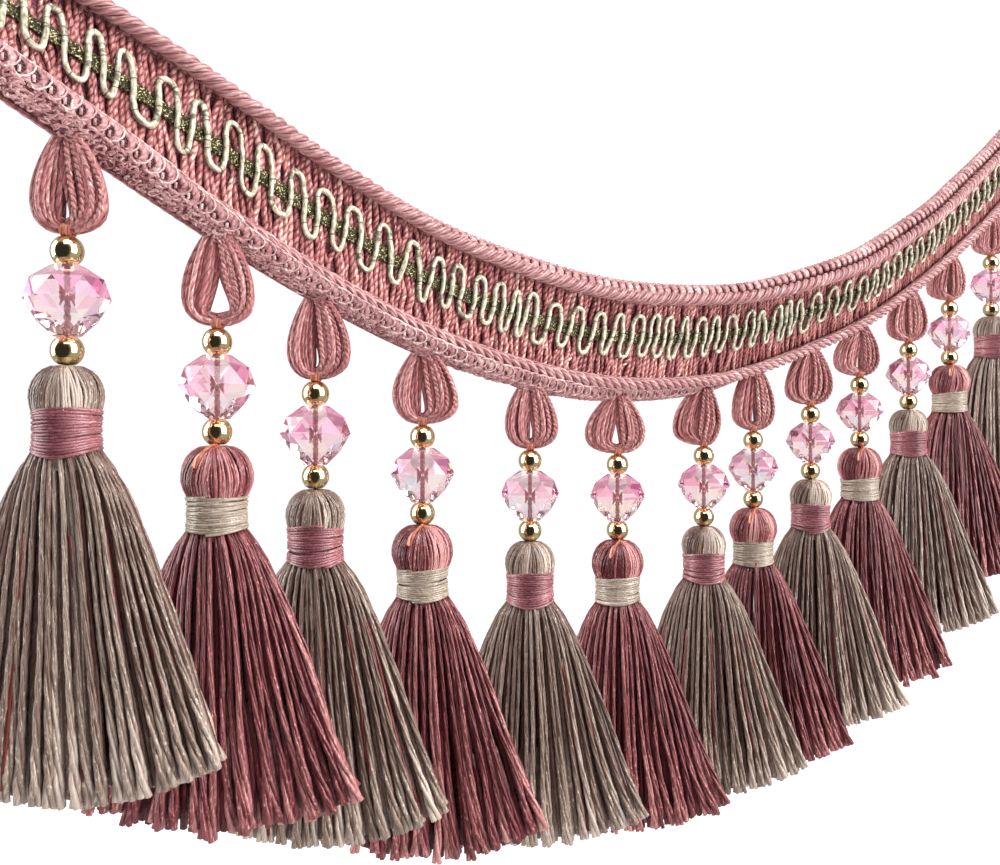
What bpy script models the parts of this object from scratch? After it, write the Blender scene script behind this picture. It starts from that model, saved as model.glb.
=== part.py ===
"""A hanging length of curtain fringe: a woven tape that carries beaded tassels, as it hangs in a swag.

Metres, +Z up. +X runs from the tape's left end to its right end, and +Y away from its face.
The origin is on the upper edge of the tape's face, at the left end.
"""

import math

import bmesh
import bpy
from mathutils import Vector

MM = 0.001
GAP = 0.3 * MM
MERGE = 0.01 * MM
SHARP_ANGLE = math.radians(40.0)

# The tape and what is sewn to its face
FACE_WIDTH = 18.0 * MM
FLANGE_BEND = 1.2 * MM
FLANGE_WIDTH = 2.7 * MM
TAPE_THICKNESS = 1.2 * MM
TAPE_STEPS = 30
ROPE_RADIUS = 1.4 * MM
BRAID_WIDTH = 2.4 * MM
BRAID_THICKNESS = 0.5 * MM
WAVE_RADIUS = 0.6 * MM
WAVE_REACH = 4.1 * MM
WAVE_SHAPE = ((0.11, 1), (0.39, 1), (0.61, -1), (0.89, -1))

# The route of the bend between the tape's face and its lower flange, in millimetres. lean tilts
# the face's upper edge back, and the two rolls turn the flanges back from the face, in degrees.
# waves counts the turns of the wave cord from the left end. ROUTE_STEP is how far either side of a
# place the route's direction is taken.
ROUTE_STEP = 0.5 * MM
ROUTE_COLUMNS = ("along", "back", "up", "lean", "low_roll", "high_roll", "waves")
ROUTE = (
    (0.0, 0.2, 52.4, 26, 0, 105, 0.0),
    (17.6, 1.0, 43.8, 13, 0, 96, 3.0),
    (39.6, 2.4, 33.0, 3, 0, 81, 7.0),
    (57.5, 4.2, 25.4, 0, 0, 60, 10.3),
    (79.5, 5.3, 17.6, 0, 8, 40, 13.6),
    (105.0, 5.8, 12.3, -3, 20, 32, 18.4),
    (128.1, 5.4, 10.4, -6, 38, 46, 22.4),
    (153.9, 4.3, 12.2, -12, 46, 80, 26.9),
    (170.2, 3.6, 15.9, -22, 57, 108, 30.2),
    (188.8, 2.0, 21.9, -28, 70, 112, 34.2),
    (207.6, 0.9, 28.6, -28, 81, 112, 37.6),
    (229.5, -0.3, 39.4, -26, 91, 112, 41.4),
    (250.8, 0.0, 50.7, -22, 98, 112, 45.0),
    (275.4, 0.3, 65.4, -19, 104, 112, 49.3),
    (298.8, 0.7, 82.2, -19, 108, 112, 53.4),
)

# Each tassel's column, in millimetres in the route's own frame: where its yarn loop's foot hangs
# (along, back and up), how far the loop sways to one side, and how far its lobes reach
TASSELS = (
    (17.6, 1.0, 27.5, 0.7, 4.1),
    (39.6, 2.3, 15.9, 0.4, 4.2),
    (57.5, 4.8, 8.5, 0.8, 4.0),
    (79.5, 6.1, 1.3, 0.7, 4.9),
    (105.0, 6.6, -3.4, 0.2, 3.9),
    (128.1, 5.8, -4.6, -0.8, 5.5),
    (153.9, 4.6, -3.1, -2.2, 4.1),
    (170.2, 3.7, 0.3, -0.3, 3.6),
    (188.8, 1.1, 6.5, -0.8, 4.6),
    (207.6, -0.3, 14.1, -1.3, 4.5),
    (229.5, -0.9, 24.0, -0.8, 4.0),
    (250.8, -0.9, 36.7, -1.5, 3.8),
    (275.4, -0.5, 52.1, -0.9, 3.5),
)
TASSEL_TURN = math.radians(-37.8)

# A yarn loop is a teardrop of two legs, which part below the tape and meet at the foot. FLAT_SIDE
# is a six-sided cord's half height at its flats. A leg's top stays LEG_GAP below the tape, found by
# lowering it LEG_TRIM at a time.
LEG_SPREAD = 1.5 * MM
LEG_RADIUS = 1.3 * MM
LOBE_RADIUS = 2.0 * MM
LOBE_SHARPNESS = 1.5
LOOP_STEPS = 7
LEG_GAP = 0.4 * MM
LEG_TRIM = 0.1 * MM
FLAT_SIDE = 0.87

# The beads on their thread, as depths below the loop's foot and shares of each bead's radius
GOLD_RADIUS = 2.33 * MM
GOLD_HEIGHT = 3.7 * MM
GOLD_SHAPE = ((0.0, 0.5), (0.28, 0.95), (0.72, 0.95), (1.0, 0.5))
CRYSTAL_RADIUS = 6.0 * MM
CRYSTAL_HEIGHT = 9.6 * MM
CRYSTAL_SHAPE = ((0.0, 0.36), (0.25, 0.8), (0.5, 1.0), (0.75, 0.8), (1.0, 0.36))
BEAD_GAP = 0.2 * MM
BEAD_SIDES = 8

# The tassels, by colour: radius of the head's dome, and depths of its shoulder and of the wrap's
# end. DOME_SHAPE gives the dome's widths and depths as shares of its radius.
HEAD_COLUMNS = ("radius", "shoulder", "wrap_end")
HEADS = {"taupe": (5.1, 6.0, 13.2), "rose": (5.65, 7.4, 12.9)}
DOME_SHAPE = ((0.45, 0.0), (0.9, 0.35), (1.0, 0.9))
NECK_RADIUS = 3.9 * MM
WRAP_THICKNESS = 0.75 * MM
WRAP_SIDES = 12
SKIRT_LENGTH = 47.0 * MM
SKIRT_REACH = 20.8 * MM
SKIRT_SWAY = 0.9 * MM
SKIRT_DEPTH = 4.0 * MM
ROOT_RADIUS = 4.5 * MM
ROOT_CORE = 2.1 * MM
FAN_ANGLE = math.radians(26.0)
STRANDS = 18
STRAND_LEVELS = ((0.32, 0.7), (1.0, 1.0))
STRAND_GAP = 0.28 * MM
HEM_UNEVEN = 0.8 * MM
HEM_BEAT = 2.4
FAN_ROUNDING = 0.8


def clear_scene():
    """Remove what the scene holds."""
    for item in list(bpy.data.objects):
        bpy.data.objects.remove(item, do_unlink=True)


def material(name, colour, roughness, metallic=0.0, transmission=0.0):
    """A Principled finish in one colour."""
    made = bpy.data.materials.new(name)
    made.use_nodes = True
    shader = made.node_tree.nodes["Principled BSDF"]
    shader.inputs["Base Color"].default_value = (*colour, 1.0)
    shader.inputs["Roughness"].default_value = roughness
    shader.inputs["Metallic"].default_value = metallic
    shader.inputs["Transmission Weight"].default_value = transmission
    made.diffuse_color = (*colour, 1.0)
    return made


def smooth(xs, ys, x):
    """A cubic through the points (xs, ys), whose slope at each point comes from its neighbours."""

    def slope(i):
        low = max(i - 1, 0)
        high = min(i + 1, len(xs) - 1)
        return (ys[high] - ys[low]) / (xs[high] - xs[low])

    i = 0
    while i < len(xs) - 2 and x > xs[i + 1]:
        i += 1
    span = xs[i + 1] - xs[i]
    t = (x - xs[i]) / span
    rise = 3 * t**2 - 2 * t**3
    start = (t**3 - 2 * t**2 + t) * span * slope(i)
    end = (t**3 - t**2) * span * slope(i + 1)
    return ys[i] + (ys[i + 1] - ys[i]) * rise + start + end


def column(name):
    """One column of the route's table, lengths in metres."""
    index = ROUTE_COLUMNS.index(name)
    unit = MM if name in ("along", "back", "up") else 1.0
    return [row[index] * unit for row in ROUTE]


ALONG = column("along")
LENGTH = ALONG[-1]


def at(name, x):
    """The value of a column of the route at a place along it."""
    return smooth(ALONG, column(name), x)


def route_point(x):
    """The bend between face and lower flange at a place along the tape."""
    return Vector((x, at("back", x), at("up", x)))


def route_direction(x):
    """The direction in which the tape runs at a place along it."""
    return (route_point(x + ROUTE_STEP) - route_point(x - ROUTE_STEP)).normalized()


def tape_point(x, out, across):
    """A point near the tape: out from the middle of its cloth, and across it from the lower bend."""
    run = route_direction(x)
    level_out = run.cross(Vector((0.0, 0.0, 1.0))).normalized()
    level_up = level_out.cross(run)
    lean = math.radians(at("lean", x))
    face_up = level_up * math.cos(lean) - level_out * math.sin(lean)
    face_out = level_out * math.cos(lean) + level_up * math.sin(lean)
    return route_point(x) + face_out * out + face_up * across


def flange(roll):
    """The bend and the edge of a flange that rolls back from the face, as (out, across) pairs."""
    turn = math.radians(roll)
    bend = (-FLANGE_BEND * math.sin(turn / 2), FLANGE_BEND * math.cos(turn / 2))
    edge = (bend[0] - FLANGE_WIDTH * math.sin(turn), bend[1] + FLANGE_WIDTH * math.cos(turn))
    return bend, edge


def tape_section(x):
    """The tape across its width, from the lower flange's edge to the upper flange's edge."""
    low_bend, low_edge = flange(at("low_roll", x))
    high_bend, high_edge = flange(at("high_roll", x))
    places = [(low_edge[0], -low_edge[1]), (low_bend[0], -low_bend[1]), (0.0, 0.0)]
    places.append((0.0, FACE_WIDTH / 2))
    places.append((0.0, FACE_WIDTH))
    places += [(high_bend[0], FACE_WIDTH + high_bend[1]), (high_edge[0], FACE_WIDTH + high_edge[1])]
    return [tape_point(x, out, across) for out, across in places]


def braid_section(x):
    """The flat braid across its width, on the middle of the face."""
    out = TAPE_THICKNESS / 2 + GAP + BRAID_THICKNESS / 2
    middle = FACE_WIDTH / 2
    return [tape_point(x, out, middle + side * BRAID_WIDTH / 2) for side in (-1, 1)]


def finish_object(name, data, finish, parent):
    """Put a mesh or a curve in the collection, under the parent and with its material."""
    made = bpy.data.objects.new(name, data)
    if not data.materials:
        data.materials.append(finish)
    bpy.data.collections["beaded_fringe"].objects.link(made)
    made.parent = parent
    return made


def mesh_from(bm, name):
    """Turn a bmesh into a smooth-shaded mesh whose faces point out."""
    bmesh.ops.recalc_face_normals(bm, faces=bm.faces)
    data = bpy.data.meshes.new(name)
    bm.to_mesh(data)
    bm.free()
    data.shade_smooth()
    data.set_sharp_from_angle(angle=SHARP_ANGLE)
    return data


def stations():
    """Evenly spaced places along the tape."""
    return [LENGTH * i / TAPE_STEPS for i in range(TAPE_STEPS + 1)]


def strip(name, section, thickness, finish, parent):
    """A sheet that follows the tape, lofted through its changing sections and given its thickness."""
    bm = bmesh.new()
    rows = [[bm.verts.new(point) for point in section(x)] for x in stations()]
    for left, right in zip(rows, rows[1:]):
        for i in range(len(left) - 1):
            bm.faces.new((left[i], right[i], right[i + 1], left[i + 1]))
    made = finish_object(name, mesh_from(bm, name), finish, parent)
    shell = made.modifiers.new("thickness", "SOLIDIFY")
    shell.thickness = thickness
    shell.offset = 0.0
    return made


def cord(name, points, radius, sides_step, finish, parent, radii=None):
    """A round cord through the points, with filled ends."""
    data = bpy.data.curves.new(name, "CURVE")
    data.dimensions = "3D"
    data.bevel_depth = radius
    data.bevel_resolution = sides_step
    data.use_fill_caps = True
    line = data.splines.new("POLY")
    line.points.add(len(points) - 1)
    for i, point in enumerate(points):
        line.points[i].co = (*point, 1.0)
        line.points[i].radius = radii[i] / radius if radii else 1.0
    return finish_object(name, data, finish, parent)


def rope_out():
    """How far a rope's middle stands out from the middle of the tape's cloth."""
    return TAPE_THICKNESS / 2 + GAP + ROPE_RADIUS


def build_tape(finishes, parent):
    """The tape, its two ropes, the braid and the wave cord."""
    strip("tape", tape_section, TAPE_THICKNESS, finishes["tape"], parent)
    strip("centre_braid", braid_section, BRAID_THICKNESS, finishes["olive"], parent)
    for name, across in (("lower_rope", 0.0), ("top_rope", FACE_WIDTH)):
        points = [tape_point(x, rope_out(), across) for x in stations()]
        cord(name, points, ROPE_RADIUS, 1, finishes["rope"], parent)
    cord("wave_cord", wave_points(), WAVE_RADIUS, 0, finishes["cream"], parent)


def wave_points():
    """The corners of the wave cord, which stands on the braid."""
    out = TAPE_THICKNESS / 2 + GAP + BRAID_THICKNESS + GAP + WAVE_RADIUS
    counts = column("waves")
    points = []
    for turn in range(int(counts[-1])):
        for share, side in WAVE_SHAPE:
            x = smooth(counts, ALONG, turn + share)
            points.append(tape_point(x, out, FACE_WIDTH / 2 + side * WAVE_REACH))
    return points


def lowest(x):
    """The height of the tape's lowest line at a place along it, rope and flange included."""
    section = tape_section(x)
    run = route_direction(x)
    level = math.hypot(run.x, run.y)
    heights = [tape_point(x, rope_out(), 0.0).z - ROPE_RADIUS / level]
    for near, far in zip(section, section[1:]):
        rise = abs((far - near).cross(run).normalized().z) * TAPE_THICKNESS / 2 / level
        heights += [near.z - rise, far.z - rise]
    return min(heights)


def loop_half(side, top, sway, reach):
    """Half of a loop in its carrier's plane, from its leg's top to its foot, as (place, radius) pairs."""
    bottom = LOBE_RADIUS * FLAT_SIDE
    half = []
    for i in range(LOOP_STEPS + 1):
        turn = math.pi * i / LOOP_STEPS
        fullness = math.sin(turn / 2)
        out = reach * math.sin(turn) * fullness**LOBE_SHARPNESS + LEG_SPREAD * math.cos(turn / 2)
        height = bottom + (top - bottom) * (1 + math.cos(turn)) / 2
        radius = LEG_RADIUS + (LOBE_RADIUS - LEG_RADIUS) * fullness
        half.append((Vector((side * out + sway * fullness, 0.0, height)), radius))
    return half


def hangs_clear(half, x, foot):
    """Whether half a loop stays below the tape."""
    for (place, radius), (following, _) in zip(half, half[1:]):
        run = (following - place).normalized()
        across = Vector((run.z, 0.0, -run.x)) * radius
        spread = abs(math.sin(TASSEL_TURN)) * radius
        for edge in (place + across, place - across):
            along = x + math.cos(TASSEL_TURN) * edge.x
            if foot + edge.z > min(lowest(along - spread), lowest(along + spread)) - LEG_GAP:
                return False
    return True


def build_loop(name, x, foot, sway, reach, finish, carrier):
    """A teardrop loop of yarn, from just below the tape down to the foot."""
    halves = []
    for side in (1, -1):
        top = lowest(x) - foot
        half = loop_half(side, top, sway, reach)
        while not hangs_clear(half, x, foot):
            top -= LEG_TRIM
            half = loop_half(side, top, sway, reach)
        halves.append(half)
    path = halves[0] + halves[1][-2::-1]
    points, radii = zip(*path)
    cord(name, points, LOBE_RADIUS, 1, finish, carrier, radii)


def bead_rows(top, height, radius, shape):
    """A bead's outline as (radius, height) pairs, downwards from its top."""
    return [(radius * wide, top - height * share) for share, wide in shape]


def string_depths():
    """The depths of the tops of the two gold beads, the crystal and the tassel's head."""
    first = GAP
    crystal = first + GOLD_HEIGHT + BEAD_GAP
    second = crystal + CRYSTAL_HEIGHT + BEAD_GAP
    return first, crystal, second, second + GOLD_HEIGHT + GAP


def turned(name, rows, sides, finish, parent, closed=False):
    """A profile at +X, from its top down, turned about the vertical axis."""
    bm = bmesh.new()
    corners = [bm.verts.new((radius, 0.0, height)) for radius, height in rows]
    if closed:
        corners.append(corners[0])
    for upper, lower in zip(corners, corners[1:]):
        bm.edges.new((upper, lower))
    data = bpy.data.meshes.new(name)
    bm.to_mesh(data)
    bm.free()
    made = finish_object(name, data, finish, parent)
    screw = made.modifiers.new("turn", "SCREW")
    screw.steps = sides
    screw.render_steps = sides
    screw.use_merge_vertices = True
    screw.merge_threshold = MERGE
    return made


def build_bead_string(name, finish, carrier):
    """Gold bead, crystal and gold bead, drawn tight on one thread and turned as one solid."""
    first, crystal, second, _ = string_depths()
    rows = bead_rows(-first, GOLD_HEIGHT, GOLD_RADIUS, GOLD_SHAPE)
    rows += bead_rows(-crystal, CRYSTAL_HEIGHT, CRYSTAL_RADIUS, CRYSTAL_SHAPE)
    rows += bead_rows(-second, GOLD_HEIGHT, GOLD_RADIUS, GOLD_SHAPE)
    rows = [(0.0, rows[0][1]), *rows, (0.0, rows[-1][1])]
    turned(name, rows, BEAD_SIDES, finish, carrier)


def head_sizes(colour):
    """The dome's radius and the depths of the shoulder and of the wrap's end, in metres."""
    return dict(zip(HEAD_COLUMNS, (value * MM for value in HEADS[colour])))


def build_wrap(name, colour, finish, carrier):
    """The band of wound thread round a tassel's neck."""
    sizes = head_sizes(colour)
    head_top = -string_depths()[3]
    upper = head_top - sizes["shoulder"] - GAP
    lower = head_top - sizes["wrap_end"]
    inner = (NECK_RADIUS + GAP) / math.cos(math.pi / WRAP_SIDES)
    outer = inner + WRAP_THICKNESS
    rows = [(inner, upper), (outer, upper), (outer, lower), (inner, lower)]
    turned(name, rows, WRAP_SIDES, finish, carrier, closed=True)


def skin(bm, first, second):
    """Join two rings of corners with a band of faces."""
    count = len(first)
    for i in range(count):
        following = (i + 1) % count
        bm.faces.new((first[i], first[following], second[following], second[i]))


def ring(bm, radius, height):
    """A level ring of corners, one for each strand's boundary."""
    turns = [math.tau * i / STRANDS for i in range(STRANDS)]
    return [bm.verts.new((radius * math.cos(t), radius * math.sin(t), height)) for t in turns]


def fan_place(turn, front, outer, inset, level, spread, root, hem_drop):
    """Where a strand's corner lies at one level, between its root in the neck and the flat fan."""
    share = turn / math.pi if front else 2.0 - turn / math.pi
    side = 1.0 - 2.0 * share
    reach = ROOT_RADIUS + (SKIRT_REACH - ROOT_RADIUS) * level
    radius = ROOT_RADIUS if outer else ROOT_CORE
    depth = SKIRT_DEPTH * math.sqrt(1.0 - (FAN_ROUNDING * side) ** 2) if outer else STRAND_GAP
    round_place = Vector((radius * math.cos(turn), radius * math.sin(turn), 0.0))
    flat_place = Vector((side * reach, depth if front else -depth, 0.0))
    place = round_place.lerp(flat_place, spread)
    place.x += inset + SKIRT_SWAY * level
    place.z = root - level * SKIRT_LENGTH * math.cos(FAN_ANGLE * side) + hem_drop * level
    return place


def add_strand(bm, index, outer_ring, inner_ring, root):
    """One strand of the skirt, from its root between two boundaries to the hem."""
    following = (index + 1) % STRANDS
    start = math.tau * index / STRANDS
    end = start + math.tau / STRANDS
    front = index < STRANDS // 2
    towards = 1.0 if front else -1.0
    hem_drop = HEM_UNEVEN * math.sin(HEM_BEAT * index)
    corners = ((start, True), (end, True), (end, False), (start, False))
    above = [outer_ring[index], outer_ring[following], inner_ring[following], inner_ring[index]]
    for level, spread in STRAND_LEVELS:
        below = []
        for turn, outer in corners:
            inset = STRAND_GAP * towards * (-1.0 if turn == start else 1.0)
            place = fan_place(turn, front, outer, inset, level, spread, root, hem_drop)
            below.append(bm.verts.new(place))
        skin(bm, above, below)
        above = below
    bm.faces.new(above)


def tassel_mesh(colour):
    """The head, the neck and the strands of one tassel, below the loop's foot."""
    sizes = head_sizes(colour)
    radius = sizes["radius"]
    top = -string_depths()[3]
    shoulder = top - sizes["shoulder"]
    root = top - sizes["wrap_end"] - 2 * GAP
    levels = [(radius * wide, top - radius * deep) for wide, deep in DOME_SHAPE]
    levels.append((NECK_RADIUS, shoulder))
    levels.append((NECK_RADIUS, root + GAP))
    levels.append((ROOT_RADIUS, root))
    bm = bmesh.new()
    rings = [ring(bm, wide, height) for wide, height in levels]
    for upper, lower in zip(rings, rings[1:]):
        skin(bm, upper, lower)
    core = ring(bm, ROOT_CORE, root)
    bm.faces.new(rings[0])
    bm.faces.new(core)
    for index in range(STRANDS):
        add_strand(bm, index, rings[-1], core, root)
    return mesh_from(bm, "tassel_" + colour)


def build_column(number, row, meshes, finishes, parent):
    """One yarn loop with its beads, its tassel and the wrap round the tassel's neck."""
    x, back, foot, sway, reach = (value * MM for value in row)
    colour = "taupe" if number % 2 else "rose"
    carrier = bpy.data.objects.new(f"column_{number:02d}", None)
    bpy.data.collections["beaded_fringe"].objects.link(carrier)
    carrier.parent = parent
    carrier.location = (x, back, foot)
    carrier.rotation_euler.z = TASSEL_TURN
    build_loop(f"loop_{number:02d}", x, foot, sway, reach, finishes["loop"], carrier)
    build_bead_string(f"bead_string_{number:02d}", finishes["beads"], carrier)
    finish_object(f"tassel_{number:02d}", meshes[colour], finishes[colour], carrier)
    build_wrap(f"neck_wrap_{number:02d}", colour, finishes["wrap_" + colour], carrier)


def build():
    """Make the whole fringe and move its reference point to the origin."""
    clear_scene()
    home = bpy.data.collections.new("beaded_fringe")
    bpy.context.scene.collection.children.link(home)
    finishes = {
        "tape": material("tape_cloth", (0.50, 0.19, 0.21), 0.75),
        "rope": material("rope_yarn", (0.58, 0.27, 0.30), 0.6),
        "olive": material("olive_braid", (0.23, 0.22, 0.10), 0.45, metallic=0.4),
        "cream": material("cream_cord", (0.72, 0.66, 0.52), 0.65),
        "loop": material("loop_yarn", (0.52, 0.18, 0.20), 0.5),
        "beads": material("bead_glass", (0.90, 0.52, 0.62), 0.08, transmission=0.6),
        "taupe": material("taupe_yarn", (0.36, 0.28, 0.23), 0.5),
        "rose": material("rose_yarn", (0.36, 0.08, 0.10), 0.5),
        "wrap_taupe": material("pink_wrap_thread", (0.50, 0.19, 0.24), 0.5),
        "wrap_rose": material("cream_wrap_thread", (0.66, 0.55, 0.45), 0.5),
    }
    root = bpy.data.objects.new("fringe", None)
    home.objects.link(root)
    build_tape(finishes, root)
    meshes = {colour: tassel_mesh(colour) for colour in HEADS}
    for number, row in enumerate(TASSELS, start=1):
        build_column(number, row, meshes, finishes, root)
    root.location = -tape_point(0.0, 0.0, FACE_WIDTH)
    bpy.context.view_layer.update()


build()
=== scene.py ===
import math

import bpy
import numpy as np
from numpy.random import default_rng
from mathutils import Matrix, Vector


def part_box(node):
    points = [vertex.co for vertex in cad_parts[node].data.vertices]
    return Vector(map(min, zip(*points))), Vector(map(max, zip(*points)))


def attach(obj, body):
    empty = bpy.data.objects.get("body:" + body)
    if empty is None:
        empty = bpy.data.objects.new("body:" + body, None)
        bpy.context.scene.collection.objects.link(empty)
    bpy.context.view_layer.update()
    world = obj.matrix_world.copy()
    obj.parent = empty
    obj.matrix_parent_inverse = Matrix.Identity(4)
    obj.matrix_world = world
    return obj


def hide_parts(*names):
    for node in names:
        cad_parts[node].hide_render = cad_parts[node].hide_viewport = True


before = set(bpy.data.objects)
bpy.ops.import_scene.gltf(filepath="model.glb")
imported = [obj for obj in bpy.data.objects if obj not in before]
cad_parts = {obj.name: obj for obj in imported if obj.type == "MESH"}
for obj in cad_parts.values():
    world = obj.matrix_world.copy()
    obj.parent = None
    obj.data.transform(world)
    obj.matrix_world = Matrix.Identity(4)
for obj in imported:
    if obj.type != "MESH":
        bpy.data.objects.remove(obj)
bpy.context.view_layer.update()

MM = 0.001
TURN = math.tau
UP = np.array((0.0, 0.0, 1.0))

# The tape, as the CAD has it: the route of the lower bend in millimetres, the lean and the rolls in
# degrees, the turns of the wave cord counted from the left end, and the skew of the crossing yarns
FACE_WIDTH = 18.0 * MM
FLANGE_WALK = 3.9 * MM
BEND_WALK = 2.4 * MM
ROUTE_STEP = 0.5 * MM
ROUTE_COLUMNS = ("along", "back", "up", "lean", "low_roll", "high_roll", "waves", "skew")
ROUTE = (
    (0.0, 0.2, 52.4, 26, 0, 105, 0.3, -9.5),
    (17.6, 1.0, 43.8, 13, 0, 96, 4.0, -8.1),
    (39.6, 2.4, 33.0, 3, 0, 81, 8.2, -8.6),
    (57.5, 4.2, 25.4, 0, 0, 60, 11.4, -7.3),
    (79.5, 5.3, 17.6, 0, 8, 40, 15.1, -4.0),
    (105.0, 5.8, 12.3, -3, 20, 32, 20.5, -0.5),
    (128.1, 5.4, 10.4, -6, 38, 46, 24.5, 1.5),
    (153.9, 4.3, 12.2, -12, 46, 80, 29.9, 1.5),
    (170.2, 3.6, 15.9, -22, 57, 108, 33.0, -0.5),
    (188.8, 2.0, 21.9, -28, 70, 112, 37.3, -3.0),
    (207.6, 0.9, 28.6, -28, 81, 112, 40.4, -4.0),
    (229.5, -0.3, 39.4, -26, 91, 112, 44.8, -4.5),
    (250.8, 0.0, 50.7, -22, 98, 112, 48.4, -4.0),
    (275.4, 0.3, 65.4, -19, 104, 112, 51.9, -3.5),
    (298.8, 0.7, 82.2, -19, 108, 112, 55.4, -3.5),
)

# What is sewn to the tape
ROPE_LIFT = 2.3 * MM
STITCH_PITCH = 2.2 * MM
WAVE_MIDDLE = 9.8 * MM
WAVE_REACH = 4.2 * MM

# The chained cover of the lower edge, in millimetres: down from the top of its rope, across and lifted
EDGE_DOWN = (0.0, 0.9, 1.9, 2.85, 3.85, 5.0, 6.2, 7.35)
EDGE_WALK = (1.45, 1.15, 0.35, -0.6, -1.5, -2.4, -3.2, -3.95)
EDGE_LIFT = (2.3, 3.15, 3.72, 3.68, 3.25, 2.5, 1.65, 0.75)

# The columns of the tassels: the loop's foot (along, back and up), its sway, its reach, the half width
# of its opening and how far that lies to the right
TASSELS = (
    (17.6, 1.0, 27.1, 0.7, 4.1, 0.8, -0.5),
    (39.6, 2.3, 15.9, 0.4, 4.4, 1.9, 0.4),
    (57.5, 4.8, 8.5, 0.8, 4.0, 0.35, -0.5),
    (79.5, 6.1, 1.3, 0.7, 4.9, 0.5, -0.7),
    (105.0, 6.6, -3.4, 0.2, 3.9, 0.4, 0.0),
    (128.1, 5.8, -4.6, -0.8, 5.5, 0.9, 0.2),
    (153.9, 4.6, -3.1, -2.2, 4.1, 0.0, 0.0),
    (170.2, 3.7, 0.3, -0.3, 3.6, 0.7, 0.0),
    (188.8, 1.1, 6.5, -0.8, 4.6, 0.0, 0.4),
    (207.6, -0.3, 14.1, -1.3, 4.5, 0.7, 0.8),
    (229.5, -0.9, 24.0, -0.8, 4.0, 0.3, -0.8),
    (250.8, -0.9, 36.7, -1.5, 3.8, 0.7, 0.6),
    (275.4, -0.5, 52.1, -0.9, 3.5, 0.4, 0.2),
)

# Sizes within a column, in millimetres. A head has its radius, and how far below its crown the
# shoulder and the end of the neck's wrap lie
HEADS = {"taupe": (4.85, 6.05, 11.8), "rose": (5.4, 7.5, 12.9)}
WRAPS = {"taupe": "pink_wrap", "rose": "cream_wrap"}
HEAD_TOP = 18.0
CORE_DEPTH = 14.2
NECK_RADIUS = 4.35
GOLD_RADIUS = 2.25
GOLD_UPPER = 2.1
GOLD_LOWER = 15.8
CRYSTAL_TOP = 4.1
CRYSTAL_HEIGHT = 9.75
CRYSTAL_RADIUS = 5.75
SKIRT_TOP = 0.7
SKIRT_LENGTH = 47.0
SKIRT_TRIM = {1: 0.5, 2: -1.8, 3: -1.6, 4: -0.9, 5: -1.2, 7: -0.4}
SKIRT_REACH = 20.8
SKIRT_DEPTH = 4.0
SKIRT_ROOT = 3.85
FAN_ANGLE = math.radians(26.0)


def heading(turn):
    """The level directions to the right and ahead."""
    right = np.array((math.cos(turn), math.sin(turn), 0.0))
    return right, np.cross(UP, right)


# The camera, and the tassels that face it, in the frame of the tape's route
CAMERA_PLACE = np.array((-19.88, -144.6, 0.0)) * MM
CAMERA_TURN = math.radians(-37.836)
CAMERA_RIGHT, CAMERA_AHEAD = heading(CAMERA_TURN)
TASSEL_RIGHT, TASSEL_BACK = heading(math.radians(-37.8))


def unit(vectors):
    """Vectors of length one."""
    return vectors / np.linalg.norm(vectors, axis=-1, keepdims=True)


def shares(count):
    """Even shares from 0 to 1."""
    return np.linspace(0.0, 1.0, count)


def square(vectors, run):
    """Vectors of length one, turned square to run."""
    return unit(vectors - run * np.sum(vectors * run, axis=-1, keepdims=True))


def eased(value, low, high):
    """Smoothly from 0 at low to 1 at high."""
    share = np.clip((value - low) / (high - low), 0.0, 1.0)
    return share * share * (3.0 - 2.0 * share)


def smooth(xs, ys, x):
    """A cubic through the points (xs, ys), with slopes from their neighbours."""
    xs, ys, x = (np.asarray(values, float) for values in (xs, ys, x))
    index = np.arange(len(xs))
    low = np.maximum(index - 1, 0)
    high = np.minimum(index + 1, index[-1])
    slope = (ys[high] - ys[low]) / (xs[high] - xs[low])
    i = np.clip(np.searchsorted(xs, x) - 1, 0, index[-1] - 1)
    span = xs[i + 1] - xs[i]
    t = (x - xs[i]) / span
    rise = 3 * t**2 - 2 * t**3
    start = (t**3 - 2 * t**2 + t) * span * slope[i]
    end = (t**3 - t**2) * span * slope[i + 1]
    return ys[i] + (ys[i + 1] - ys[i]) * rise + start + end


def drift(rng, spread, knots, steps, count=1, middle=0.0):
    """Random values that change smoothly along lines."""
    rows = rng.normal(middle, spread, (count, knots))
    return np.stack([smooth(shares(knots), row, shares(steps)) for row in rows])


def lengths(lines):
    """How far each point lies along its line."""
    steps = np.linalg.norm(np.diff(lines, axis=-2), axis=-1)
    return np.concatenate((np.zeros(steps.shape[:-1] + (1,)), np.cumsum(steps, axis=-1)), axis=-1)


def spots(x, y, z):
    """Points from values in millimetres."""
    return np.stack(np.broadcast_arrays(x, y, z), axis=-1) * MM


def spots_round(radius, turn, height):
    """Points about an upright axis from values in millimetres."""
    return spots(radius * np.cos(turn), radius * np.sin(turn), height)


def column(name):
    """One column of the route's table, lengths in metres."""
    scale = MM if name in ("along", "back", "up", "skew") else 1.0
    return np.array(ROUTE)[:, ROUTE_COLUMNS.index(name)] * scale


ALONG = column("along")


def at(name, x):
    """A column's value at places along the route."""
    return smooth(ALONG, column(name), x)


def route_point(x):
    """The tape's lower bend at places along the route."""
    return np.stack((x, at("back", x), at("up", x)), axis=-1)


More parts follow.
